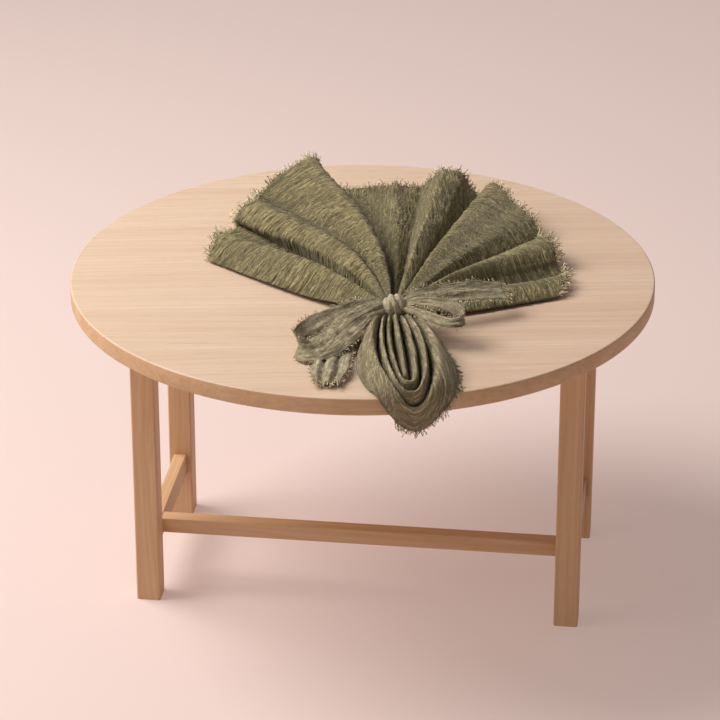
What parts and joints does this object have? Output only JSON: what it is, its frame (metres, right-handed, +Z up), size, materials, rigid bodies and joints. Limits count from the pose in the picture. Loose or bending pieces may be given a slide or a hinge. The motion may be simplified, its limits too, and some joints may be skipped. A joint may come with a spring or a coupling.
{
  "type": "folded cloth napkin on a round table",
  "caption": "Square frayed gauze napkin gathered and tied in its middle, its back half fanned and its front half nested, laid over the edge of a plain round wooden table.",
  "frame": {"origin": "the bottom centre of the whole box, on the floor under the table", "axes": "+Z up; -Y towards the viewer and the edge that the cloth falls over; +X to the viewer's right"},
  "size_m": [0.7, 0.7132, 0.4469],
  "materials": {
    "cloth": "matte, crinkled open gauze",
    "oak": "satin oiled"
  },
  "bodies": {
    "root": {"tabletop": "oak", "leg_front_left": "oak", "leg_front_right": "oak", "leg_back_left": "oak", "leg_back_right": "oak", "side_rail_left": "oak", "side_rail_right": "oak", "long_rail": "oak", "napkin": "cloth", "tie": "cloth", "fringe_fan_left": "cloth", "fringe_fan_upper": "cloth", "fringe_fan_back": "cloth", "fringe_fan_right": "cloth", "fringe_fan_low": "cloth", "fringe_rosette": "cloth", "fringe_tail_left": "cloth", "fringe_tail_right": "cloth"}
  },
  "joints": []
}
